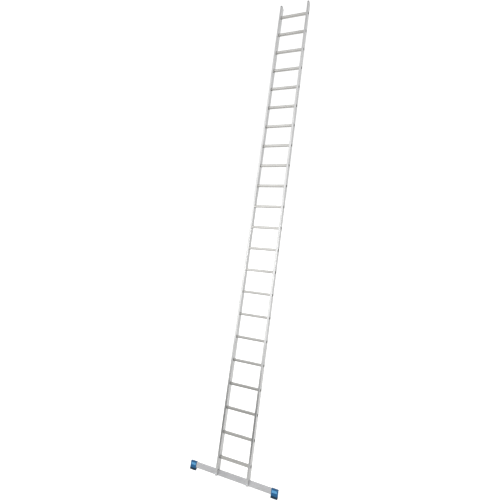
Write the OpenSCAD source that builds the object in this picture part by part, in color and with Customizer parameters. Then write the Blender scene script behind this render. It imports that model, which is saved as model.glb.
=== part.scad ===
// A single-section leaning ladder: two box-section stiles, rungs flanged through both
// webs of each stile, and a wide crossbar at the foot that passes through the slotted
// stile ends. It is modelled as it is used, leaning back towards +Y with its soles flat
// on the floor. The origin is on the floor, midway between the soles. +X runs along the
// rungs and +Z is up.

/* [Ladder] */
// Angle that the ladder leans back from upright, in degrees
lean = 20; // [15:1:25]
// Number of rungs
rung_count = 22; // [6:1:30]
// Distance from the centre of one rung to the next, along the stiles
rung_pitch = 280; // [250:5:300]
// Width over both stiles
ladder_w = 412; // [350:1:600]
// Stile below the centre of the lowest rung
stile_below = 195; // [160:1:300]
// Stile above the centre of the highest rung
stile_above = 150; // [110:1:250]

/* [Stiles] */
// Depth of a stile, front to back
stile_d = 83; // [70:1:110]
// Thickness of a stile, across the ladder
stile_t = 25; // [20:0.5:30]
// Wall of a stile's webs and flanges
stile_wall = 1.6; // [1.4:0.1:2.4]
// Outer corner radius of a stile
stile_r = 3; // [2.5:0.1:5]

/* [Rungs] */
// Width and height of the square rung tube
rung_s = 30; // [25:0.5:34]
// Wall of a rung
rung_wall = 1.8; // [1.4:0.1:2.4]
// Outer corner radius of a rung
rung_r = 4; // [3:0.1:6]
// Grooves in a rung's tread, its front face and its back face
groove_count = 5; // [3:1:6]
// Width of one groove
groove_w = 2; // [1:0.1:2.5]
// Depth of one groove
groove_depth = 0.6; // [0.3:0.1:0.8]
// How far the rolled bead stands out from the rung, against the inner web
bead_out = 2.5; // [1.5:0.1:4]
// Thickness of the rolled bead, along the rung
bead_t = 3; // [2:0.1:5]
// How far the flared rung end stands out, against the outer web
flare_out = 1.6; // [1:0.1:3]
// Thickness of the flared rung end
flare_t = 1.2; // [0.8:0.1:2]

/* [Crossbar] */
// Length of the crossbar over its end caps
crossbar_l = 1100; // [800:10:1300]
// Height of the crossbar, along the stiles
bar_h = 58; // [45:1:70]
// Thickness of the crossbar, front to back
bar_t = 25; // [20:0.5:32]
// Wall of the crossbar
bar_wall = 2; // [1.6:0.1:3]
// Outer corner radius of the crossbar
bar_r = 3; // [2.5:0.1:5]
// How far the crossbar stands below the stile ends
bar_drop = 6; // [0:0.5:15]

/* [End caps and soles] */
// Length of crossbar that an end cap covers, with its end wall
cap_w = 78; // [50:1:120]
// Wall of an end cap round the crossbar
cap_wall = 3; // [2:0.1:5]
// End wall of an end cap
cap_end = 5; // [3:0.5:10]
// Floor of an end cap, under the crossbar
cap_floor = 10; // [7:0.5:20]
// Height of a sole below its cap, at the middle of its depth
sole_h = 18; // [14:0.5:30]
// Number of grooves across the bottom of a sole
sole_grooves = 5; // [3:1:8]
// Height of the key that holds a sole in its cap
sole_key_h = 4; // [2:0.5:6]

/* [Plugs and inserts] */
// Height of a top plug's lip above its stile, at the front and back
plug_lip = 9; // [2:0.5:14]
// How much higher the domed lip is in the middle
plug_dome = 5; // [2:0.5:10]
// Depth that a top plug reaches into its stile
plug_depth = 50; // [30:1:70]
// Height of a foot insert above the crossbar
insert_over = 25; // [15:1:40]

/* [Fixings] */
// Diameter of the crossbar bolts
bolt_d = 8; // [6:1:10]
// Diameter of a cap screw's shank
screw_d = 4; // [3:0.5:5]

/* [Clearances] */
// Gap round each rung where it passes through a stile
rung_gap = 0.1; // [0.05:0.05:0.3]
// Gap round the crossbar in its slots and its caps
bar_gap = 0.2; // [0.1:0.05:0.5]
// Gap round plugs and inserts in a stile
plug_gap = 0.2; // [0.1:0.05:0.5]
// Gap round a bolt in its holes
bolt_gap = 0.25; // [0.1:0.05:0.5]

/* [Hidden] */
$fn = 48;
eps = 1;

// Heights along the stiles, from the floor point midway between the soles
cap_bottom = sole_h;
bar_bottom = cap_bottom + cap_floor;
bar_top = bar_bottom + bar_h;
bar_mid = bar_bottom + bar_h / 2;
stile_foot = bar_bottom + bar_drop;
first_rung = stile_foot + stile_below;
last_rung = first_rung + (rung_count - 1) * rung_pitch;
stile_top = last_rung + stile_above;

// Places across the ladder
stile_x = (ladder_w - stile_t) / 2;
inner_face = ladder_w / 2 - stile_t;

// Crossbar and its caps
bar_l = crossbar_l - 2 * (cap_end + bar_gap);
cap_h = cap_floor + bar_h + bar_gap + cap_wall;
cap_t = bar_t + 2 * (bar_gap + cap_wall);
cap_x = (crossbar_l - cap_w) / 2;
cap_edge_r = 4;
slot_t = bar_t + 2 * bar_gap;

// Inside of a stile, less the gap that plugs and inserts need
core_t = stile_t - 2 * (stile_wall + plug_gap);
core_d = stile_d - 2 * (stile_wall + plug_gap);
core_r = max(stile_r - stile_wall - plug_gap, 0.4);
plug_body_wall = 3;
dome_r = (pow(stile_d / 2, 2) + pow(plug_dome, 2)) / (2 * plug_dome);

// Bolt, head, washer and nut, in proportion to the bolt
bolt_hole_d = bolt_d + 2 * bolt_gap;
head_d = 2 * bolt_d;
head_h = 0.55 * bolt_d;
key_af = 0.625 * bolt_d;
key_depth = 0.35 * bolt_d;
washer_d = 2 * bolt_d;
washer_t = 0.2 * bolt_d;
nut_af = 1.625 * bolt_d;
nut_h = bolt_d;
bolt_over = 0.4 * bolt_d;
bolt_back = stile_d / 2 + washer_t + nut_h + bolt_over;
sleeve_d = bolt_hole_d + 5;
sleeve_l = bar_t - 2 * bar_wall - 0.2;

// Cap screws, driven into the back of the crossbar
screw_head_d = 2 * screw_d;
screw_head_h = 0.6 * screw_d;
screw_reach = 6;
screw_rise = bar_h / 5;
screw_x = cap_x - cap_w / 6;

// Sole: tread grooves, and the key in the cap's floor
tread_depth = 3;
tread_w = 4;
key_t = 12;
key_w = cap_w - 24;
key_gap = 0.15;

function rung_name(i) = str("rung_", i < 10 ? "0" : "", i);

// ---- Shared shapes ----

// Leans what is drawn along the stiles back to its place on the floor
module leaning() {
    rotate([-lean, 0, 0]) children();
}

// The left one of a pair is the right one's mirror image
module on_side(side) {
    if (side > 0) children();
    else mirror([1, 0, 0]) children();
}

module both_sides() {
    for (side = [-1, 1]) on_side(side) children();
}

// Rectangle with round corners, centred
module round_rect(w, d, r) {
    square([w - 2 * r, d], center = true);
    square([w, d - 2 * r], center = true);
    for (x = [-1, 1], y = [-1, 1]) {
        translate([x * (w / 2 - r), y * (d / 2 - r)]) circle(r = r);
    }
}

// Straight bar along Z with round long edges
module round_bar(w, d, r, h) {
    linear_extrude(h) round_rect(w, d, r);
}

// Straight bar along X, centred, with round long edges: d is front to back, h is height
module round_beam(l, d, h, r) {
    translate([-l / 2, 0, 0]) rotate([0, 90, 0]) linear_extrude(l) round_rect(h, d, r);
}

// Hole along Y through everything from front to back, centred on the stile depth
module bolt_hole(d, l) {
    rotate([90, 0, 0]) cylinder(d = d, h = l, center = true);
}

// ---- Stiles ----

// Extruded box section, with a square hole in both webs for each rung, a slot in both
// webs at the foot for the crossbar, and a bolt hole in both flanges
module stile() {
    translate([stile_x, 0, 0]) difference() {
        translate([0, 0, stile_foot])
            round_bar(stile_t, stile_d, stile_r, stile_top - stile_foot);
        translate([0, 0, stile_foot - eps])
            round_bar(
                stile_t - 2 * stile_wall,
                stile_d - 2 * stile_wall,
                stile_r - stile_wall,
                stile_top - stile_foot + 2 * eps
            );
        for (i = [0 : rung_count - 1]) translate([0, 0, first_rung + i * rung_pitch])
            round_beam(
                stile_t + 2 * eps,
                rung_s + 2 * rung_gap,
                rung_s + 2 * rung_gap,
                rung_r
            );
        translate([-stile_t / 2 - eps, -slot_t / 2, stile_foot - eps])
            cube([stile_t + 2 * eps, slot_t, bar_top + bar_gap - stile_foot + eps]);
        translate([0, 0, bar_mid]) bolt_hole(bolt_hole_d, stile_d + 2 * eps);
    }
}

module left_stile() {
    color("silver") leaning() on_side(-1) stile();
}

module right_stile() {
    color("silver") leaning() on_side(1) stile();
}

// ---- Rungs ----

// Grooves along a face whose middle is at height rung_s / 2, run along the tube
module face_grooves() {
    spread = rung_s - 2 * rung_r - groove_w;
    for (i = [0 : groove_count - 1])
        translate([-rung_s / 2 - eps, i * spread / (groove_count - 1) - spread / 2 - groove_w / 2])
            square([groove_depth + eps, groove_w]);
}

// Section of a rung. Its tread faces -X, which becomes the top once it lies along X.
module rung_section() {
    difference() {
        round_rect(rung_s, rung_s, rung_r);
        round_rect(rung_s - 2 * rung_wall, rung_s - 2 * rung_wall, rung_r - rung_wall);
        for (turn = [0, 90, 270]) rotate(turn) face_grooves();
    }
}

// Square collar that stands out from the tube by out, starting at x
module rung_collar(x, out, t) {
    translate([x, 0, 0]) rotate([0, 90, 0]) linear_extrude(t) difference() {
        round_rect(rung_s + 2 * out, rung_s + 2 * out, rung_r + out);
        round_rect(rung_s - 2 * rung_wall, rung_s - 2 * rung_wall, rung_r - rung_wall);
    }
}

// Tube that runs through both stiles, with a rolled bead against each inner web and a
// flared end against each outer web, so that it can't pull out either way
module rung(i) {
    color("gainsboro") leaning() translate([0, 0, first_rung + (i - 1) * rung_pitch]) {
        translate([-ladder_w / 2 - flare_t, 0, 0]) rotate([0, 90, 0])
            linear_extrude(ladder_w + 2 * flare_t) rung_section();
        both_sides() {
            rung_collar(inner_face - bead_t, bead_out, bead_t);
            rung_collar(ladder_w / 2, flare_out, flare_t);
        }
    }
}

// ---- Plugs and inserts ----

// Moulded plug in the open top of a stile: a domed lip over the section, on a hollow body
module top_plug() {
    translate([stile_x, 0, stile_top]) difference() {
        union() {
            intersection() {
                round_bar(stile_t, stile_d, stile_r, plug_lip + plug_dome);
                translate([0, 0, plug_lip + plug_dome - dome_r])
                    rotate([0, 90, 0])
                    cylinder(r = dome_r, h = stile_t + 2 * eps, center = true, $fn = 180);
            }
            translate([0, 0, -plug_depth]) round_bar(core_t, core_d, core_r, plug_depth + eps);
        }
        translate([0, 0, -plug_depth - eps])
            cube(
                [core_t - 2 * plug_body_wall, core_d - 2 * plug_body_wall, 2 * (plug_depth + eps)],
                center = true
            );
    }
}

module left_top_plug() {
    color("dimgray") leaning() on_side(-1) top_plug();
}

module right_top_plug() {
    color("dimgray") leaning() on_side(1) top_plug();
}

// Moulded block in the foot of a stile. It straddles the crossbar, fills the section so
// that the bolt can't crush it, and closes the end.
module foot_insert() {
    difference() {
        translate([stile_x, 0, stile_foot])
            round_bar(core_t, core_d, core_r, bar_top + insert_over - stile_foot);
        translate([stile_x - stile_t / 2, -slot_t / 2, stile_foot - eps])
            cube([stile_t, slot_t, bar_top + bar_gap - stile_foot + eps]);
        translate([stile_x, 0, bar_mid]) bolt_hole(bolt_hole_d, stile_d + 2 * eps);
    }
}

module left_foot_insert() {
    color("dimgray") leaning() on_side(-1) foot_insert();
}

module right_foot_insert() {
    color("dimgray") leaning() on_side(1) foot_insert();
}

// ---- Crossbar, end caps and soles ----

// Extruded tube with a bolt hole for each stile and, at each end, two pilot holes for the
// cap screws in its back wall
module crossbar() {
    color("lightgray") leaning() translate([0, 0, bar_mid]) difference() {
        round_beam(bar_l, bar_t, bar_h, bar_r);
        round_beam(
            bar_l + 2 * eps,
            bar_t - 2 * bar_wall,
            bar_h - 2 * bar_wall,
            bar_r - bar_wall
        );
        both_sides() {
            translate([stile_x, 0, 0]) bolt_hole(bolt_hole_d, bar_t + 2 * eps);
            for (z = [-1, 1]) translate([screw_x, bar_t / 2, z * screw_rise])
                bolt_hole(screw_d, 2 * bar_wall + 2 * eps);
        }
    }
}

// Moulded boot over the end of the crossbar, with a recess in its floor for the sole's key
module end_cap() {
    pocket_h = bar_h + 2 * bar_gap;
    difference() {
        translate([cap_x, 0, cap_bottom + cap_h / 2]) round_beam(cap_w, cap_t, cap_h, cap_edge_r);
        translate([cap_x - cap_end - eps, 0, bar_mid])
            round_beam(cap_w + 2 * eps, slot_t, pocket_h, bar_r);
        translate([cap_x - key_w / 2 - key_gap, -key_t / 2 - key_gap, cap_bottom - eps])
            cube([key_w + 2 * key_gap, key_t + 2 * key_gap, sole_key_h + key_gap + eps]);
        for (z = [-1, 1]) translate([screw_x, cap_t / 2, bar_mid + z * screw_rise])
            bolt_hole(screw_d + 2 * bolt_gap, 2 * (cap_wall + bar_gap + eps));
    }
}

module left_end_cap() {
    color("steelblue") leaning() on_side(-1) end_cap();
}

module right_end_cap() {
    color("steelblue") leaning() on_side(1) end_cap();
}

// Soft sole keyed into its cap. Its bottom is cut level with the floor at the lean, and
// grooved from front to back.
module sole() {
    tread_pitch = cap_w / (sole_grooves + 1);
    difference() {
        leaning() {
            translate([cap_x - cap_w / 2, -cap_t / 2, -cap_t])
                cube([cap_w, cap_t, cap_t + cap_bottom]);
            translate([cap_x - key_w / 2, -key_t / 2, cap_bottom - eps])
                cube([key_w, key_t, sole_key_h + eps]);
        }
        translate([cap_x - cap_w, -2 * cap_t, -3 * cap_t])
            cube([2 * cap_w, 4 * cap_t, 3 * cap_t]);
        for (i = [1 : sole_grooves])
            translate([cap_x - cap_w / 2 + i * tread_pitch - tread_w / 2, -2 * cap_t, -eps])
                cube([tread_w, 4 * cap_t, tread_depth + eps]);
    }
}

module left_sole() {
    color("midnightblue") on_side(-1) sole();
}

module right_sole() {
    color("midnightblue") on_side(1) sole();
}

// ---- Fixings ----

// Two bolts, one through each stile and the crossbar, with a low round head in front
module crossbar_bolts() {
    color("lightsteelblue") leaning() both_sides() translate([stile_x, 0, bar_mid]) difference() {
        union() {
            translate([0, bolt_back, 0]) rotate([90, 0, 0])
                cylinder(d = bolt_d, h = bolt_back + stile_d / 2 + eps);
            translate([0, -stile_d / 2, 0]) rotate([90, 0, 0])
                cylinder(d1 = head_d, d2 = 0.6 * head_d, h = head_h);
        }
        translate([0, -stile_d / 2 - head_h + key_depth, 0]) rotate([90, 0, 0])
            cylinder(d = key_af / cos(30), h = key_depth + eps, $fn = 6);
    }
}

// Two washers, under the nuts at the back of the stiles
module crossbar_washers() {
    color("lightsteelblue") leaning() both_sides()
        translate([stile_x, stile_d / 2 + washer_t, bar_mid]) rotate([90, 0, 0]) difference() {
            cylinder(d = washer_d, h = washer_t);
            translate([0, 0, -eps]) cylinder(d = bolt_hole_d, h = washer_t + 2 * eps);
        }
}

// Two lock nuts at the back of the stiles
module crossbar_nuts() {
    color("lightsteelblue") leaning() both_sides()
        translate([stile_x, stile_d / 2 + washer_t + nut_h, bar_mid]) rotate([90, 0, 0])
        difference() {
            cylinder(d = nut_af / cos(30), h = nut_h, $fn = 6);
            translate([0, 0, -eps]) cylinder(d = bolt_d, h = nut_h + 2 * eps);
        }
}

// Two sleeves round the bolts inside the crossbar, which stop its walls from crushing
module crossbar_sleeves() {
    color("lightsteelblue") leaning() both_sides()
        translate([stile_x, 0, bar_mid]) rotate([90, 0, 0]) difference() {
            cylinder(d = sleeve_d, h = sleeve_l, center = true);
            cylinder(d = bolt_hole_d, h = sleeve_l + 2 * eps, center = true);
        }
}

// Four screws, two through the back of each cap into the crossbar
module cap_screws() {
    color("lightsteelblue") leaning() both_sides() for (z = [-1, 1])
        translate([screw_x, cap_t / 2, bar_mid + z * screw_rise]) rotate([90, 0, 0]) {
            translate([0, 0, -screw_head_h])
                cylinder(d1 = 0.7 * screw_head_d, d2 = screw_head_d, h = screw_head_h);
            translate([0, 0, -eps])
                cylinder(d = screw_d, h = cap_wall + bar_gap + screw_reach + eps);
        }
}

for (i = [1 : rung_count]) rung(i);
left_stile();
right_stile();
left_top_plug();
right_top_plug();
left_foot_insert();
right_foot_insert();
crossbar();
left_end_cap();
right_end_cap();
left_sole();
right_sole();
crossbar_bolts();
crossbar_washers();
crossbar_nuts();
crossbar_sleeves();
cap_screws();
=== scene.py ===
import math

import bmesh
import bpy
from mathutils import Matrix, Vector


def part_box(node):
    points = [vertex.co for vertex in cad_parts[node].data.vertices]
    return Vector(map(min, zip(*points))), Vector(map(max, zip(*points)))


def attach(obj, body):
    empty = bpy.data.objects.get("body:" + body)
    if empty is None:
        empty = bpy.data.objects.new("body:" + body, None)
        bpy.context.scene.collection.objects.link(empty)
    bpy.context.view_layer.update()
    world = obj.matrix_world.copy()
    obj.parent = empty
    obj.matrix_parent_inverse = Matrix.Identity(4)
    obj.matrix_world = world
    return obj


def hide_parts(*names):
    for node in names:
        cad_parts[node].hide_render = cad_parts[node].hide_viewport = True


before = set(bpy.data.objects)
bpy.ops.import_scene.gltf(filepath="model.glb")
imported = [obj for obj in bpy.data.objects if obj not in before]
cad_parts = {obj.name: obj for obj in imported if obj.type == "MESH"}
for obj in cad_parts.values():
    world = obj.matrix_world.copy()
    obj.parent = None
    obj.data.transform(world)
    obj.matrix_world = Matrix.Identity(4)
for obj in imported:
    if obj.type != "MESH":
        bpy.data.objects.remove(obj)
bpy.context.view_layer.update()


# ---- Stiles ----
# The two side rails, one length each of extruded aluminium box section, punched through
# both webs for the rungs and slotted at the foot for the crossbar. They lean back
# together, so the lean is read from the line through the lowest and highest rungs.
MM = 0.001
STREAK_WIDE = 9 * MM
STREAK_LONG = 1400 * MM
OXIDE_CLOUD = 160 * MM
KNOCK_WIDE = 45 * MM
KNOCK_LONG = 5 * MM
KNOCK_DEPTH = 0.35
ACROSS_THE_LADDER, UP_THE_STILES = 0, 2


def middle_of(node):
    """The middle of a CAD node's box."""
    low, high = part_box(node)
    return (low + high) / 2


up_the_stiles = middle_of("rung_22") - middle_of("rung_01")
lean = math.atan2(up_the_stiles.y, up_the_stiles.z)
leaned = Matrix.Rotation(-lean, 4, "X")


def ladder_box(node):
    """Lowest and highest corner of a CAD node across the ladder, back, and up the stiles."""
    upright = leaned.inverted()
    points = [upright @ v.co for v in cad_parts[node].data.vertices]
    low = Vector([min(p[axis] for p in points) for axis in range(3)])
    high = Vector([max(p[axis] for p in points) for axis in range(3)])
    return low, high


def srgb(colour):
    """An sRGB hex colour as the linear colour that a shader takes."""
    shares = [int(colour[i:i + 2], 16) / 255 for i in (1, 3, 5)]
    return [s / 12.92 if s <= 0.04045 else ((s + 0.055) / 1.055) ** 2.4 for s in shares] + [1]


def add_node(finish, kind, inputs, **settings):
    """Adds a node with its settings. Each input is a value or the socket that feeds it."""
    node = finish.node_tree.nodes.new("ShaderNode" + kind)
    for name, value in settings.items():
        setattr(node, name, value)
    for name, value in inputs.items():
        if isinstance(value, bpy.types.NodeSocket):
            finish.node_tree.links.new(value, node.inputs[name])
        else:
            node.inputs[name].default_value = value
    return node


def new_finish(name):
    """An empty material, ready for its nodes."""
    finish = bpy.data.materials.new(name)
    finish.use_nodes = True
    finish.node_tree.nodes.clear()
    return finish


def coat(node, finish):
    """Gives a CAD node that is shown as drawn its finish."""
    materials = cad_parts[node].data.materials
    materials.clear()
    materials.append(finish)


def extruded_aluminium(name, along, dull, bright, gloss):
    """Mill-finish 6060 alloy, as it leaves the die: a satin metal with streaks along its
    length, a cloudy thin oxide, and fine knocks from handling. Real die lines are 0.1 to
    0.3 mm apart, too fine to show from a few metres, so the streaks are 4 to 30 mm wide."""
    finish = new_finish(name)
    place = add_node(finish, "TexCoord", {}).outputs["Object"]
    upright = add_node(finish, "Mapping", {"Vector": place, "Rotation": (lean, 0, 0)})
    streak_scale = [1 / STREAK_WIDE] * 3
    streak_scale[along] = 1 / STREAK_LONG
    streak_place = add_node(
        finish, "Mapping", {"Vector": upright.outputs["Vector"], "Scale": streak_scale}
    )
    streaks = add_node(
        finish, "TexNoise",
        {"Vector": streak_place.outputs["Vector"], "Scale": 1, "Detail": 3, "Roughness": 0.65},
    )
    clouds = add_node(
        finish, "TexNoise",
        {"Vector": place, "Scale": 1 / OXIDE_CLOUD, "Detail": 4, "Roughness": 0.6},
    )
    knock_scale = [1 / KNOCK_WIDE] * 3
    knock_scale[along] = 1 / KNOCK_LONG
    knock_place = add_node(
        finish, "Mapping", {"Vector": upright.outputs["Vector"], "Scale": knock_scale}
    )
    knocks = add_node(
        finish, "TexNoise",
        {"Vector": knock_place.outputs["Vector"], "Scale": 1, "Detail": 1, "Roughness": 0.4},
    )
    knock_mask = add_node(
        finish, "MapRange",
        {"Value": knocks.outputs["Fac"], "From Min": 0.69, "From Max": 0.82},
    )
    oxide = add_node(
        finish, "Math",
        {0: streaks.outputs["Fac"], 1: clouds.outputs["Fac"]},
        operation="ADD",
    )
    oxide_share = add_node(
        finish, "MapRange",
        {"Value": oxide.outputs["Value"], "From Min": 0.7, "From Max": 1.3},
    )
    colour = add_node(
        finish, "Mix",
        {0: oxide_share.outputs["Result"], 6: srgb(dull), 7: srgb(bright)},
        data_type="RGBA",
    )
    satin = add_node(
        finish, "MapRange",
        {
            "Value": oxide_share.outputs["Result"],
            "To Min": gloss + 0.09,
            "To Max": gloss,
        },
    )
    scuffed = add_node(
        finish, "MapRange",
        {"Value": knock_mask.outputs["Result"], "To Min": 0, "To Max": 0.08},
    )
    roughness = add_node(
        finish, "Math",
        {0: satin.outputs["Result"], 1: scuffed.outputs["Result"]},
        operation="ADD",
    )
    height = add_node(
        finish, "Math",
        {0: knock_mask.outputs["Result"], 1: -KNOCK_DEPTH, 2: streaks.outputs["Fac"]},
        operation="MULTIPLY_ADD",
    )
    bump = add_node(
        finish, "Bump", {"Strength": 0.12, "Distance": 0.5 * MM, "Height": height.outputs["Value"]}
    )
    surface = add_node(
        finish, "BsdfPrincipled",
        {
            "Base Color": colour.outputs[2],
            "Metallic": 1,
            "Roughness": roughness.outputs["Value"],
            "Normal": bump.outputs["Normal"],
        },
    )
    add_node(finish, "OutputMaterial", {"Surface": surface.outputs["BSDF"]})
    return finish


stile_metal = extruded_aluminium(
    "mill_finish_aluminium_stile", UP_THE_STILES, "#B1B1B1", "#C3C3C3", gloss=0.18
)
for node in ("left_stile", "right_stile"):
    coat(node, stile_metal)


# ---- Rungs ----
# Twenty-two square aluminium tubes, grooved along the tread, front and back. Each is pushed
# through both stiles, then swaged: a bead is rolled out against the inner web, and the end is
# flared over the outer web, so the open end of the tube shows on the outside of the stile.
RUNG_CORNER = 4 * MM
RUNG_WALL = 1.8 * MM
BEAD_OUT = 2.5 * MM
BEAD_THICK = 3 * MM
FLARE_OUT = 1.6 * MM
FLARE_THICK = 1.2 * MM
GROOVE_WIDE = 2 * MM
GROOVE_DEEP = 0.6 * MM
GROOVE_SIDE = 0.5 * MM
GROOVES = 5
LEAST_GROOVE = 100 * MM
CREASE = math.radians(30)
# The cosine above which a face counts as looking along an axis, and the distance below
# which two places count as one.
SQUARELY = 0.99
NEAR = 0.1 * MM


def solid_block(low, high):
    """A block that fills a box."""
    block = bmesh.new()
    bmesh.ops.create_cube(block, size=1)
    bmesh.ops.scale(block, vec=high - low, verts=block.verts)
    bmesh.ops.translate(block, vec=(low + high) / 2, verts=block.verts)
    return block


def soften(work, edges, size, cuts):
    """Rounds edges."""
    bmesh.ops.bevel(
        work, geom=edges, offset=size, offset_type="OFFSET", segments=cuts,
        profile=0.5, affect="EDGES", material=-1,
    )


def open_tube(low, high, corner, wall, cuts):
    """A straight tube along X that fills a box, with round long edges and open ends."""
    tube = solid_block(low, high)
    long_edges = [e for e in tube.edges if abs(e.verts[0].co.x - e.verts[1].co.x) > MM]
    soften(tube, long_edges, corner, cuts)
    ends = [f for f in tube.faces if abs(f.normal.x) > SQUARELY]
    bmesh.ops.delete(tube, geom=ends, context="FACES_ONLY")
    bmesh.ops.recalc_face_normals(tube, faces=tube.faces)
    bmesh.ops.solidify(tube, geom=tube.faces[:], thickness=wall)
    return tube


def slice_across(work, point, direction):
    """Cuts a loop of edges round the whole piece."""
    bmesh.ops.bisect_plane(
        work, geom=work.verts[:] + work.edges[:] + work.faces[:],
        plane_co=point, plane_no=direction,
    )


def groove_face(work, face_normal, middle, side_axis, offsets, width, depth):
    """Cuts grooves along X in the flat outer face that looks along face_normal. Where part
    of that face is swollen, the cuts fall there until its pieces are small, and only the
    later ones reach the rest: a rung's long span gets the last of its grooves alone."""
    def flat_outer_faces():
        flat = [
            f for f in work.faces
            if f.normal.dot(face_normal) > SQUARELY and f.calc_area() > width * LEAST_GROOVE
        ]
        level = max((f.calc_center_median() - middle).dot(face_normal) for f in flat)
        return [
            f for f in flat
            if (f.calc_center_median() - middle).dot(face_normal) > level - NEAR
        ]

    for offset in offsets:
        for edge in (offset - width / 2, offset + width / 2):
            faces = flat_outer_faces()
            around = {v for f in faces for v in f.verts} | {e for f in faces for e in f.edges}
            bmesh.ops.bisect_plane(
                work, geom=list(around) + faces,
                plane_co=middle + edge * side_axis, plane_no=side_axis,
            )
    strips = [
        f for f in flat_outer_faces()
        if any(
            abs((f.calc_center_median() - middle).dot(side_axis) - offset) < width / 2
            for offset in offsets
        )
    ]
    bmesh.ops.inset_individual(
        work, faces=strips, thickness=GROOVE_SIDE, depth=-depth, use_even_offset=True
    )


def hand_over(name, work, finish, slot, *stands_for):
    """Turns finished work from the ladder's own axes to where it stands, as one piece."""
    bmesh.ops.transform(work, matrix=leaned, verts=work.verts)
    mesh = bpy.data.meshes.new(name)
    work.to_mesh(mesh)
    work.free()
    mesh.materials.append(finish)
    mesh.shade_smooth()
    mesh.set_sharp_from_angle(angle=CREASE)
    piece = bpy.data.objects.new(name, mesh)
    bpy.context.scene.collection.objects.link(piece)
    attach(piece, "root")
    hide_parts(*stands_for)
    return piece


stile_low, stile_high = ladder_box("right_stile")
rung_metal = extruded_aluminium(
    "mill_finish_aluminium_rung", ACROSS_THE_LADDER, "#A6A5A2", "#B8B7B4", gloss=0.3
)


def swaged_rung(node):
    """One rung with its grooves, beads and flared ends."""
    low, high = ladder_box(node)
    middle = (low + high) / 2
    half = (high.z - low.z) / 2 - BEAD_OUT
    tube = open_tube(
        Vector((low.x, middle.y - half, middle.z - half)),
        Vector((high.x, middle.y + half, middle.z + half)),
        RUNG_CORNER, RUNG_WALL, cuts=4,
    )
    inner_web, outer_web = stile_low.x, stile_high.x
    swells = [
        (inner_web - BEAD_THICK, 0.0),
        (inner_web - 0.85 * BEAD_THICK, 0.6 * BEAD_OUT),
        (inner_web - 0.5 * BEAD_THICK, BEAD_OUT),
        (inner_web - 0.15 * BEAD_THICK, 0.8 * BEAD_OUT),
        (inner_web, 0.2 * BEAD_OUT),
        (outer_web, 0.0),
        (outer_web + 0.35 * FLARE_THICK, 0.8 * FLARE_OUT),
        (outer_web + 0.99 * FLARE_THICK, FLARE_OUT),
    ]
    for side in (-1, 1):
        for x, _ in swells:
            slice_across(tube, (side * x, 0, 0), (1, 0, 0))
    for x, rise in swells:
        ring = [v for v in tube.verts if abs(abs(v.co.x) - x) < NEAR]
        bmesh.ops.scale(
            tube, vec=(1, 1 + rise / half, 1 + rise / half), verts=ring,
            space=Matrix.Translation(-middle),
        )
    lips = [v for v in tube.verts if abs(v.co.x) > outer_web + FLARE_THICK - NEAR]
    bmesh.ops.scale(
        tube, vec=(1, 1 + FLARE_OUT / half, 1 + FLARE_OUT / half),
        verts=[v for v in lips if max(abs(v.co.y - middle.y), abs(v.co.z - middle.z)) <= half],
        space=Matrix.Translation(-middle),
    )
    spread = half - RUNG_CORNER - GROOVE_WIDE / 2
    offsets = [spread * (2 * i / (GROOVES - 1) - 1) for i in range(GROOVES)]
    for side in (-1, 1):
        slice_across(tube, (side * (inner_web - BEAD_THICK - MM), 0, 0), (1, 0, 0))
    for normal, side_axis in (
        (Vector((0, 0, 1)), Vector((0, 1, 0))),
        (Vector((0, -1, 0)), Vector((0, 0, 1))),
        (Vector((0, 1, 0)), Vector((0, 0, 1))),
    ):
        groove_face(tube, normal, middle, side_axis, offsets, GROOVE_WIDE, GROOVE_DEEP)
    return tube


for node in sorted(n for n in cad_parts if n.startswith("rung_")):
    hand_over(f"ribbed_{node}", swaged_rung(node), rung_metal, "rung_aluminium", node)


# ---- Crossbar ----
# A wide, flat aluminium tube that passes through the slotted ends of both stiles and
# spreads the foot of the ladder. It is extruded with shallow grooves along its faces.
BAR_CORNER = 3 * MM
BAR_WALL = 2 * MM
BAR_GROOVE = 0.5 * MM
BAR_GROOVE_PLACES = (-0.36, -0.12, 0.12, 0.36)
bar_low, bar_high = ladder_box("crossbar")
bar_middle = (bar_low + bar_high) / 2
bar_metal = extruded_aluminium(
    "mill_finish_aluminium_crossbar", ACROSS_THE_LADDER, "#B1B1B3", "#C2C2C4", gloss=0.26
)
bar = open_tube(bar_low, bar_high, BAR_CORNER, BAR_WALL, cuts=4)
bar_lines = [share * (bar_high.z - bar_low.z) for share in BAR_GROOVE_PLACES]
for facing in (-1, 1):
    groove_face(
        bar, Vector((0, facing, 0)), bar_middle, Vector((0, 0, 1)), bar_lines,
        GROOVE_WIDE, BAR_GROOVE,
    )
hand_over("foot_crossbar", bar, bar_metal, "crossbar_aluminium", "crossbar")


# ---- End caps ----
# Blue polypropylene boots pushed over the ends of the crossbar and screwed from the
# back. Each is moulded with a rim round its mouth and a polished pad in a narrow trench on
# its front and back. The pad is painted a lighter blue than the grained walls round it,
# a painted highlight where the light would catch the front and back of the boot.
CAP_CORNER = 4 * MM
CAP_SOFT_EDGE = 1 * MM
PAD_FRAME = 7 * MM
PAD_SUNK = 1.4 * MM
PAD_TRENCH = 0.4 * MM
PAD_SLOPE = 3 * MM
PAD_FOOT = 0.36
MOUTH_DEEP = 6 * MM
MOUTH_DRAFT = 0.05 * MM
BAR_CLEARANCE = 0.1 * MM
LIP_ANGLE = math.radians(50)


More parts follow.
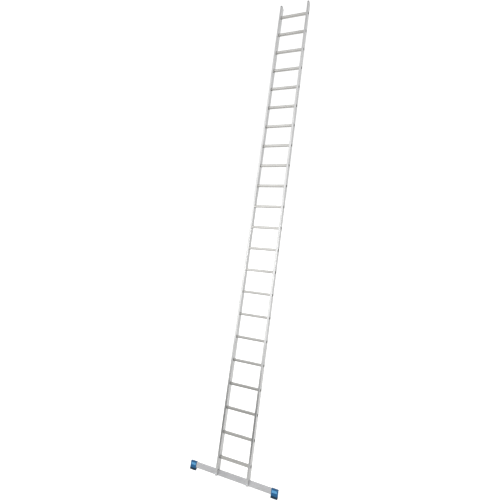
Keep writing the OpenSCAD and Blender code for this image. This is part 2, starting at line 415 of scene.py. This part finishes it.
def moulded_plastic(name, body, worn, grain, gloss, wear, sheen=0.3):
    """Injection-moulded plastic with a spark-eroded grain: a soft broad sheen, slight
    unevenness in colour, and paler scuffs where it gets knocked. The real grain is about
    0.1 mm, too fine to show, so it is drawn as coarse as grain says."""
    finish = new_finish(name)
    place = add_node(finish, "TexCoord", {}).outputs["Object"]
    speckle = add_node(
        finish, "TexNoise", {"Vector": place, "Scale": 1 / grain, "Detail": 2, "Roughness": 0.5}
    )
    patches = add_node(
        finish, "TexNoise",
        {"Vector": place, "Scale": 1 / (30 * MM), "Detail": 5, "Roughness": 0.65},
    )
    scuffs = add_node(
        finish, "MapRange",
        {"Value": patches.outputs["Fac"], "From Min": 0.5, "From Max": 0.8, "To Max": wear},
    )
    colour = add_node(
        finish, "Mix", {0: scuffs.outputs["Result"], 6: srgb(body), 7: srgb(worn)},
        data_type="RGBA",
    )
    roughness = add_node(
        finish, "MapRange",
        {"Value": patches.outputs["Fac"], "To Min": gloss - 0.06, "To Max": gloss + 0.1},
    )
    bump = add_node(
        finish, "Bump",
        {"Strength": 0.25, "Distance": 0.2 * MM, "Height": speckle.outputs["Fac"]},
    )
    surface = add_node(
        finish, "BsdfPrincipled",
        {
            "Base Color": colour.outputs[2],
            "Roughness": roughness.outputs["Result"],
            "IOR": 1.49,
            "Specular IOR Level": sheen,
            "Normal": bump.outputs["Normal"],
        },
    )
    add_node(finish, "OutputMaterial", {"Surface": surface.outputs["BSDF"]})
    return finish


def on_the_left(work):
    """Turns a right-hand piece into its left-hand mirror image."""
    bmesh.ops.scale(work, vec=(-1, 1, 1), verts=work.verts)
    bmesh.ops.recalc_face_normals(work, faces=work.faces)
    return work


def hand_over_pair(make, name, finish, slot, node):
    """Hands over the left and right pieces of a kind. The left one mirrors what make gives."""
    pair = []
    for hand in ("left", "right"):
        work = make() if hand == "right" else on_the_left(make())
        pair.append(hand_over(f"{hand}_{name}", work, finish, slot, f"{hand}_{node}"))
    return pair


cap_plastic = moulded_plastic(
    "grained_blue_polypropylene", "#0B4C77", "#2F6C98", grain=2 * MM, gloss=0.4, wear=0.3
)
# A lighter copy of the boot's blue for the pads: a painted highlight, not a different plastic.
pad_painted_highlight = moulded_plastic(
    "polished_blue_polypropylene_painted_highlight", "#4B8AB6", "#74A6CD", grain=6 * MM, gloss=0.24, wear=0.5
)


def end_cap():
    """The cap for the right end of the crossbar."""
    low, high = ladder_box("right_end_cap")
    cap = solid_block(low, high)
    closed_end = [e for e in cap.edges if max(v.co.x for v in e.verts) > high.x - MM]
    soften(cap, closed_end, CAP_CORNER, cuts=5)
    pad_foot = low.z + PAD_FOOT * (high.z - low.z)
    slice_across(cap, (0, 0, pad_foot), (0, 0, 1))
    pads = [
        f for f in cap.faces
        if abs(f.normal.y) > SQUARELY and f.calc_center_median().z > pad_foot
    ]
    bmesh.ops.inset_individual(cap, faces=pads, thickness=PAD_FRAME, use_even_offset=True)
    bmesh.ops.inset_individual(
        cap, faces=pads, thickness=PAD_TRENCH, depth=-PAD_SUNK, use_even_offset=True
    )
    bmesh.ops.inset_individual(
        cap, faces=pads, thickness=PAD_SLOPE, depth=PAD_SUNK, use_even_offset=True
    )
    mouth = [
        f for f in cap.faces if f.normal.x < -SQUARELY and f.calc_center_median().x < low.x + MM
    ]
    rim = (high.y - low.y - (bar_high.y - bar_low.y)) / 2 - BAR_CLEARANCE
    bmesh.ops.inset_region(cap, faces=mouth, thickness=rim, use_even_offset=True)
    bmesh.ops.inset_region(
        cap, faces=mouth, thickness=MOUTH_DRAFT, depth=-MOUTH_DEEP, use_even_offset=True
    )
    lip = [
        e for e in cap.edges
        if len(e.link_faces) == 2 and e.calc_face_angle() > LIP_ANGLE
        and max(v.co.x for v in e.verts) < low.x + MM
    ]
    soften(cap, lip, CAP_SOFT_EDGE, cuts=2)
    # The pads and the trench walls round them take the second finish, the painted-highlight blue.
    for face in pads:
        face.material_index = 1
        for edge in face.edges:
            for beside in edge.link_faces:
                beside.material_index = 1
    return cap


# Each boot's second slot holds the lighter painted-highlight blue for its pads.
for boot in hand_over_pair(end_cap, "cap_boot", cap_plastic, "cap_plastic", "end_cap"):
    boot.data.materials.append(pad_painted_highlight)


# ---- Soles ----
# Soft navy rubber pads moulded under the caps. Their lugs run from front to back, and
# their bottoms are cut level with the floor at the lean of the ladder.
LUG_TALL = 3 * MM
LUG_GAP = 4 * MM
LUGS = 6
SOLE_CORNER = 2.5 * MM
sole_rubber = moulded_plastic(
    "soft_navy_rubber", "#072639", "#33495A", grain=1.5 * MM, gloss=0.68, wear=0.2
)


def ribbed_sole():
    """The sole for the right cap, in its leaned place."""
    cap_low, cap_high = ladder_box("right_end_cap")
    depth = cap_high.y - cap_low.y
    sole = solid_block(
        Vector((cap_low.x, cap_low.y, cap_low.z - 2 * depth)),
        Vector((cap_high.x, cap_high.y, cap_low.z)),
    )
    upright = [e for e in sole.edges if abs(e.verts[0].co.z - e.verts[1].co.z) > depth]
    soften(sole, upright, SOLE_CORNER, cuts=3)
    bmesh.ops.transform(sole, matrix=leaned, verts=sole.verts)
    cut = bmesh.ops.bisect_plane(
        sole, geom=sole.verts[:] + sole.edges[:] + sole.faces[:],
        plane_co=(0, 0, LUG_TALL), plane_no=(0, 0, -1), clear_outer=True,
    )
    rim = [e for e in cut["geom_cut"] if isinstance(e, bmesh.types.BMEdge)]
    bmesh.ops.holes_fill(sole, edges=rim, sides=len(rim))
    pitch = (cap_high.x - cap_low.x) / LUGS
    for i in range(1, LUGS):
        for edge in (-LUG_GAP / 2, LUG_GAP / 2):
            slice_across(sole, (cap_low.x + i * pitch + edge, 0, 0), (1, 0, 0))
    bottoms = [
        f for f in sole.faces
        if f.normal.z < -SQUARELY and abs(f.calc_center_median().z - LUG_TALL) < NEAR
        and f.calc_area() > 1.2 * LUG_GAP * depth
    ]
    lugs = bmesh.ops.extrude_discrete_faces(sole, faces=bottoms)["faces"]
    bmesh.ops.translate(
        sole, vec=(0, 0, -LUG_TALL), verts=list({v for f in lugs for v in f.verts})
    )
    bmesh.ops.transform(sole, matrix=leaned.inverted(), verts=sole.verts)
    return sole


hand_over_pair(ribbed_sole, "ribbed_sole", sole_rubber, "sole_rubber", "sole")


# ---- Top plugs ----
# Black polypropylene plugs pressed into the open tops of the stiles, with a domed lip
# that covers the cut edge.
PLUG_CORNER = 3 * MM
PLUG_SOFT_EDGE = 1.2 * MM
PLUG_WALL = 2 * MM
DOME_RISE = 5 * MM
DOME_SLICES = 16
plug_plastic = moulded_plastic(
    "black_polypropylene", "#121315", "#34363A", grain=1.5 * MM, gloss=0.5, wear=0.2
)


def verts_of(geometry):
    """The vertices among what an operator gives back."""
    return [v for v in geometry if isinstance(v, bmesh.types.BMVert)]


def domed_plug():
    """The plug for the right stile: a lip with a low dome from front to back, on a body
    that reaches into the stile."""
    low, high = ladder_box("right_top_plug")
    mouth = stile_high.z
    half_deep = (high.y - low.y) / 2
    dome = (half_deep ** 2 + DOME_RISE ** 2) / (2 * DOME_RISE)
    plug = solid_block(Vector((low.x, low.y, mouth)), high)
    upright = [e for e in plug.edges if abs(e.verts[0].co.z - e.verts[1].co.z) > MM]
    soften(plug, upright, PLUG_CORNER, cuts=4)
    for i in range(1, DOME_SLICES):
        slice_across(plug, (0, half_deep * (2 * i / DOME_SLICES - 1), 0), (0, 1, 0))
    for v in plug.verts:
        if v.co.z > high.z - MM:
            v.co.z -= dome - math.sqrt(dome ** 2 - v.co.y ** 2)
    plug.normal_update()
    rim = [
        e for e in plug.edges
        if sorted(abs(f.normal.z) > 0.7 for f in e.link_faces) == [False, True]
        and min(v.co.z for v in e.verts) > mouth + MM
    ]
    soften(plug, rim, PLUG_SOFT_EDGE, cuts=3)
    under = [
        f for f in plug.faces
        if f.normal.z < -SQUARELY and f.calc_center_median().z < mouth + MM
    ]
    bmesh.ops.inset_region(plug, faces=under, thickness=PLUG_WALL, use_even_offset=True)
    body = bmesh.ops.extrude_face_region(plug, geom=under)["geom"]
    bmesh.ops.translate(plug, vec=(0, 0, low.z - mouth), verts=verts_of(body))
    bmesh.ops.delete(plug, geom=[f for f in under if f.is_valid], context="FACES")
    return plug


hand_over_pair(domed_plug, "domed_plug", plug_plastic, "plug_plastic", "top_plug")


# ---- Foot inserts ----
# Black moulded blocks that fill the stile ends round the crossbar. Little of them shows,
# only their flush ends and the sides of the slots.
for node in ("left_foot_insert", "right_foot_insert"):
    coat(node, plug_plastic)


# ---- Bolts, washers and nuts ----
# Zinc-plated steel: one M8 bolt with a domed hexagon-socket head goes through each stile
# and the crossbar, and a washer and a lock nut with a nylon ring hold it at the back. The
# sleeves round the bolts stay as drawn, hidden inside the crossbar.
BOLT_RADIUS = 4 * MM
HEAD_RADIUS = 8 * MM
SOCKET_CORNER = 2.9 * MM
SOCKET_DEEP = 2.8 * MM
WASHER_THICK = 1.6 * MM
WASHER_HOLE = 4.25 * MM
WASHER_EDGE = 0.25 * MM
NUT_CORNER = 7.5 * MM
NUT_HEXAGON = 6 * MM
NUT_CHAMFER = 0.9 * MM
NYLON_RADIUS = 5.6 * MM
NYLON_CHAMFER = 0.6 * MM
THREAD_CHAMFER = 0.8 * MM
SOCKET_RIM = 0.8 * MM
ZINC_CLOUD = 6 * MM
TURNED_STEPS = 24


def zinc_plated_steel():
    """Electroplated zinc with a clear passivate: a bright bluish metal with cloudiness,
    drawn at 6 mm, about the size of a head."""
    finish = new_finish("zinc_plated_steel")
    place = add_node(finish, "TexCoord", {}).outputs["Object"]
    cloud = add_node(
        finish, "TexNoise",
        {"Vector": place, "Scale": 1 / ZINC_CLOUD, "Detail": 4, "Roughness": 0.6},
    )
    colour = add_node(
        finish, "Mix",
        {0: cloud.outputs["Fac"], 6: srgb("#A9AFB6"), 7: srgb("#D2D5D6")}, data_type="RGBA",
    )
    roughness = add_node(
        finish, "MapRange", {"Value": cloud.outputs["Fac"], "To Min": 0.2, "To Max": 0.42}
    )
    surface = add_node(
        finish, "BsdfPrincipled",
        {
            "Base Color": colour.outputs[2],
            "Metallic": 1,
            "Roughness": roughness.outputs["Result"],
        },
    )
    add_node(finish, "OutputMaterial", {"Surface": surface.outputs["BSDF"]})
    return finish


def turned(x, z, outline):
    """A round piece about the line at x and z that runs from front to back. Its outline is
    a chain of points, each a radius and a place along that line."""
    work = bmesh.new()
    chain = [work.verts.new((x + radius, y, z)) for radius, y in outline]
    for pair in zip(chain, chain[1:]):
        work.edges.new(pair)
    bmesh.ops.spin(
        work, geom=work.verts[:] + work.edges[:], cent=(x, 0, z), axis=(0, 1, 0),
        angle=2 * math.pi, steps=TURNED_STEPS, use_merge=True, use_duplicate=False,
    )
    bmesh.ops.remove_doubles(work, verts=work.verts, dist=0.01 * MM)
    return work


def open_edges(work):
    """The edges that bound a hole, or belong to no face yet."""
    return [e for e in work.edges if len(e.link_faces) < 2]


def facing_front(x, y, z):
    """The place of a flat shape that is turned to lie square to the bolt."""
    return Matrix.Translation((x, y, z)) @ Matrix.Rotation(math.radians(90), 4, "X")


def both_sides(work):
    """Adds the left-hand twin of a right-hand piece to it, and points every face outwards."""
    twin = bmesh.ops.duplicate(work, geom=work.verts[:] + work.edges[:] + work.faces[:])["geom"]
    bmesh.ops.scale(work, vec=(-1, 1, 1), verts=verts_of(twin))
    bmesh.ops.recalc_face_normals(work, faces=work.faces)
    return work


zinc = zinc_plated_steel()
nylon = moulded_plastic(
    "natural_nylon", "#C9C6BA", "#E2E0D8", grain=1 * MM, gloss=0.38, wear=0.4
)
bolt_x = (stile_low.x + stile_high.x) / 2
bolt_z = bar_middle.z
head_front = ladder_box("crossbar_bolts")[0].y
bolt_end = ladder_box("crossbar_bolts")[1].y
nut_end = ladder_box("crossbar_nuts")[1].y
head_tall = stile_low.y - head_front

bolts = turned(bolt_x, bolt_z, [
    (SOCKET_CORNER + SOCKET_RIM, head_front),
    (0.62 * HEAD_RADIUS, head_front + 0.1 * head_tall),
    (0.84 * HEAD_RADIUS, head_front + 0.35 * head_tall),
    (0.97 * HEAD_RADIUS, head_front + 0.75 * head_tall),
    (HEAD_RADIUS, stile_low.y),
    (BOLT_RADIUS, stile_low.y),
    (BOLT_RADIUS, bolt_end - THREAD_CHAMFER),
    (BOLT_RADIUS - THREAD_CHAMFER, bolt_end),
    (0, bolt_end),
])
bmesh.ops.create_circle(
    bolts, segments=6, radius=SOCKET_CORNER, matrix=facing_front(bolt_x, head_front, bolt_z)
)
bmesh.ops.bridge_loops(bolts, edges=open_edges(bolts))
socket_walls = bmesh.ops.extrude_edge_only(bolts, edges=open_edges(bolts))["geom"]
bmesh.ops.translate(bolts, vec=(0, SOCKET_DEEP, 0), verts=verts_of(socket_walls))
bmesh.ops.holes_fill(bolts, edges=open_edges(bolts), sides=6)
hand_over("socket_head_bolts", both_sides(bolts), zinc, "zinc_steel", "crossbar_bolts")

washer_ring = [
    (WASHER_HOLE, stile_high.y),
    (HEAD_RADIUS, stile_high.y),
    (HEAD_RADIUS, stile_high.y + WASHER_THICK - WASHER_EDGE),
    (HEAD_RADIUS - WASHER_EDGE, stile_high.y + WASHER_THICK),
    (WASHER_HOLE, stile_high.y + WASHER_THICK),
    (WASHER_HOLE, stile_high.y),
]
washers = turned(bolt_x, bolt_z, washer_ring)
hand_over("flat_washers", both_sides(washers), zinc, "zinc_steel", "crossbar_washers")

nut_start = stile_high.y + WASHER_THICK
nuts = bmesh.new()
for corners, radius in ((6, NUT_CORNER), (TURNED_STEPS, BOLT_RADIUS)):
    bmesh.ops.create_circle(
        nuts, segments=corners, radius=radius, matrix=facing_front(bolt_x, nut_start, bolt_z)
    )
bmesh.ops.bridge_loops(nuts, edges=nuts.edges[:])
hexagon = bmesh.ops.extrude_face_region(nuts, geom=nuts.faces[:], use_keep_orig=True)["geom"]
bmesh.ops.translate(nuts, vec=(0, NUT_HEXAGON, 0), verts=verts_of(hexagon))
bmesh.ops.recalc_face_normals(nuts, faces=nuts.faces)
tips = [
    v for v in nuts.verts
    if math.hypot(v.co.x - bolt_x, v.co.z - bolt_z) > NUT_CORNER - NEAR
]
bmesh.ops.bevel(
    nuts, geom=tips, offset=NUT_CHAMFER, offset_type="OFFSET", segments=1,
    profile=0.5, affect="VERTICES", material=-1,
)
hand_over("lock_nuts", both_sides(nuts), zinc, "zinc_steel", "crossbar_nuts")

nylon_start = nut_start + NUT_HEXAGON
nylon_rings = turned(bolt_x, bolt_z, [
    (BOLT_RADIUS, nylon_start),
    (NYLON_RADIUS, nylon_start),
    (NYLON_RADIUS, nut_end - THREAD_CHAMFER),
    (NYLON_RADIUS - NYLON_CHAMFER, nut_end),
    (BOLT_RADIUS, nut_end),
    (BOLT_RADIUS, nylon_start),
])
hand_over("nylon_lock_rings", both_sides(nylon_rings), nylon, "zinc_steel", "crossbar_nuts")

coat("crossbar_sleeves", zinc)


# ---- Cap screws ----
# Four zinc-plated pan-head screws with cross recesses, two through the back of each cap
# into the crossbar, which stop the caps from pulling off.
SCREW_RADIUS = 2 * MM
SCREW_HEAD_RADIUS = 4 * MM
CROSS_WIDE = 1.1 * MM
CROSS_DEEP = 1.3 * MM
screws_low, screws_high = ladder_box("cap_screws")
head_back = ladder_box("right_end_cap")[1].y
screw_head_tall = screws_high.y - head_back
screw_x = screws_high.x - SCREW_HEAD_RADIUS
screw_tip = screws_low.y
screws = bmesh.new()
for z in (screws_low.z + SCREW_HEAD_RADIUS, screws_high.z - SCREW_HEAD_RADIUS):
    screw = turned(screw_x, z, [
        (0, screw_tip),
        (0.5 * SCREW_RADIUS, screw_tip + MM),
        (SCREW_RADIUS, screw_tip + 3 * MM),
        (SCREW_RADIUS, head_back),
        (SCREW_HEAD_RADIUS, head_back),
        (0.96 * SCREW_HEAD_RADIUS, head_back + 0.5 * screw_head_tall),
        (0.82 * SCREW_HEAD_RADIUS, screws_high.y - 0.15 * screw_head_tall),
        (0.66 * SCREW_HEAD_RADIUS, screws_high.y),
    ])
    cross = bmesh.ops.create_grid(
        screw, x_segments=3, y_segments=3, size=1.5 * CROSS_WIDE,
        matrix=facing_front(screw_x, screws_high.y, z),
    )["verts"]
    recess = [
        f for f in screw.faces
        if all(v in cross for v in f.verts)
        and min(
            abs(f.calc_center_median().x - screw_x), abs(f.calc_center_median().z - z)
        ) < NEAR
    ]
    bmesh.ops.bridge_loops(screw, edges=open_edges(screw))
    sunk = bmesh.ops.extrude_face_region(screw, geom=recess)["geom"]
    bmesh.ops.translate(screw, vec=(0, -CROSS_DEEP, 0), verts=verts_of(sunk))
    bmesh.ops.delete(screw, geom=[f for f in recess if f.is_valid], context="FACES")
    one_screw = bpy.data.meshes.new("screw")
    screw.to_mesh(one_screw)
    screw.free()
    screws.from_mesh(one_screw)
    bpy.data.meshes.remove(one_screw)
hand_over("pan_head_cap_screws", both_sides(screws), zinc, "zinc_steel", "cap_screws")


# ---- Floor ----
# A white studio floor under the ladder, which ends behind the camera. It is lifted to plain
# white where it is seen directly, and keeps its own level in what the metal reflects.
FLOOR_FRONT = -3.2
FLOOR_HALF = 60.0
FLOOR_LIFT = 0.35
floor_mesh = bmesh.new()
bmesh.ops.create_grid(floor_mesh, x_segments=1, y_segments=1, size=FLOOR_HALF)
bmesh.ops.translate(floor_mesh, vec=(0, FLOOR_HALF + FLOOR_FRONT, 0), verts=floor_mesh.verts)
floor_data = bpy.data.meshes.new("studio_floor")
floor_mesh.to_mesh(floor_data)
floor_mesh.free()
floor = bpy.data.objects.new("studio_floor", floor_data)
bpy.context.scene.collection.objects.link(floor)
floor_paint = new_finish("matt_white_floor_paint")
floor_seen = add_node(floor_paint, "LightPath", {})
floor_lift = add_node(
    floor_paint, "Math", {0: floor_seen.outputs["Is Camera Ray"], 1: FLOOR_LIFT},
    operation="MULTIPLY",
)
floor_surface = add_node(
    floor_paint, "BsdfPrincipled",
    {
        "Base Color": srgb("#F4F4F3"), "Roughness": 0.9, "Specular IOR Level": 0.1,
        "Emission Color": srgb("#FFFFFF"), "Emission Strength": floor_lift.outputs["Value"],
    },
)
add_node(floor_paint, "OutputMaterial", {"Surface": floor_surface.outputs["BSDF"]})
floor_data.materials.append(floor_paint)


# ---- Studio light ----
# A white studio: bright walls, a dimmer ceiling, and a dark gap low down behind the camera
# that shows as a dark band in the metal. The background itself stays plain white.
GAP_LIGHT = 0.3
FRONT_LIGHT = 1.85
SIDE_LIGHT = 1.2
BACK_LIGHT = 0.95
CEILING_SHARE = 0.52
BACKDROP = 1.1
SOFTBOX_PLACE = (2.5, -4.5, 5.5)
SOFTBOX_AIM = (0, 1, 2.5)
studio = bpy.data.worlds.new("white_studio")
bpy.context.scene.world = studio
studio.use_nodes = True
studio.node_tree.nodes.clear()
# The direction's Y is -1 at the front and 1 at the back. Its Z is 0 level and 1 overhead.
direction = add_node(studio, "TexCoord", {}).outputs["Generated"]
split = add_node(studio, "SeparateXYZ", {"Vector": direction})
frontness = add_node(
    studio, "MapRange", {"Value": split.outputs["Y"], "From Min": -0.25, "From Max": -0.75}
)
front_wall = add_node(
    studio, "MapRange",
    {
        "Value": split.outputs["Z"], "From Min": 0.02, "From Max": 0.25,
        "To Min": GAP_LIGHT, "To Max": FRONT_LIGHT,
    },
    interpolation_type="SMOOTHSTEP",
)
back_wall = add_node(
    studio, "MapRange",
    {
        "Value": split.outputs["Y"], "From Min": 0.3, "From Max": 0.85,
        "To Min": SIDE_LIGHT, "To Max": BACK_LIGHT,
    },
    interpolation_type="SMOOTHSTEP",
)
walls = add_node(
    studio, "Mix",
    {
        0: frontness.outputs["Result"], 2: back_wall.outputs["Result"],
        3: front_wall.outputs["Result"],
    },
)
ceiling = add_node(
    studio, "MapRange",
    {
        "Value": split.outputs["Z"], "From Min": 0.72, "From Max": 0.97,
        "To Min": 1, "To Max": CEILING_SHARE,
    },
    interpolation_type="SMOOTHSTEP",
)
studio_light = add_node(
    studio, "Math", {0: walls.outputs[0], 1: ceiling.outputs["Result"]}, operation="MULTIPLY"
)
seen = add_node(studio, "LightPath", {})
backdrop = add_node(
    studio, "Mix",
    {0: seen.outputs["Is Camera Ray"], 2: studio_light.outputs["Value"], 3: BACKDROP},
)
glow = add_node(
    studio, "Background", {"Color": srgb("#FFFFFF"), "Strength": backdrop.outputs[0]}
)
add_node(studio, "OutputWorld", {"Surface": glow.outputs["Background"]})

softbox = bpy.data.lights.new("front_softbox", "AREA")
softbox.shape = "RECTANGLE"
softbox.size, softbox.size_y = 3.0, 2.0
softbox.energy = 120
softbox_stand = bpy.data.objects.new("front_softbox", softbox)
softbox_stand.location = SOFTBOX_PLACE
aim = Vector(SOFTBOX_AIM) - softbox_stand.location
softbox_stand.rotation_euler = aim.to_track_quat("-Z", "Y").to_euler()
softbox_stand.visible_camera = False
bpy.context.scene.collection.objects.link(softbox_stand)


# ---- Camera ----
# It stands high in front and to the right, looking slightly down.
camera_data = bpy.data.cameras.new("camera")
camera_data.lens = 23.89
camera_data.sensor_width = 36
camera = bpy.data.objects.new("camera", camera_data)
camera.location = (1.3657, -2.9762, 3.3476)
camera.rotation_euler = [math.radians(angle) for angle in (79.369, -0.613, 21.590)]
bpy.context.scene.collection.objects.link(camera)
bpy.context.scene.camera = camera
bpy.context.scene.view_settings.view_transform = "Standard"
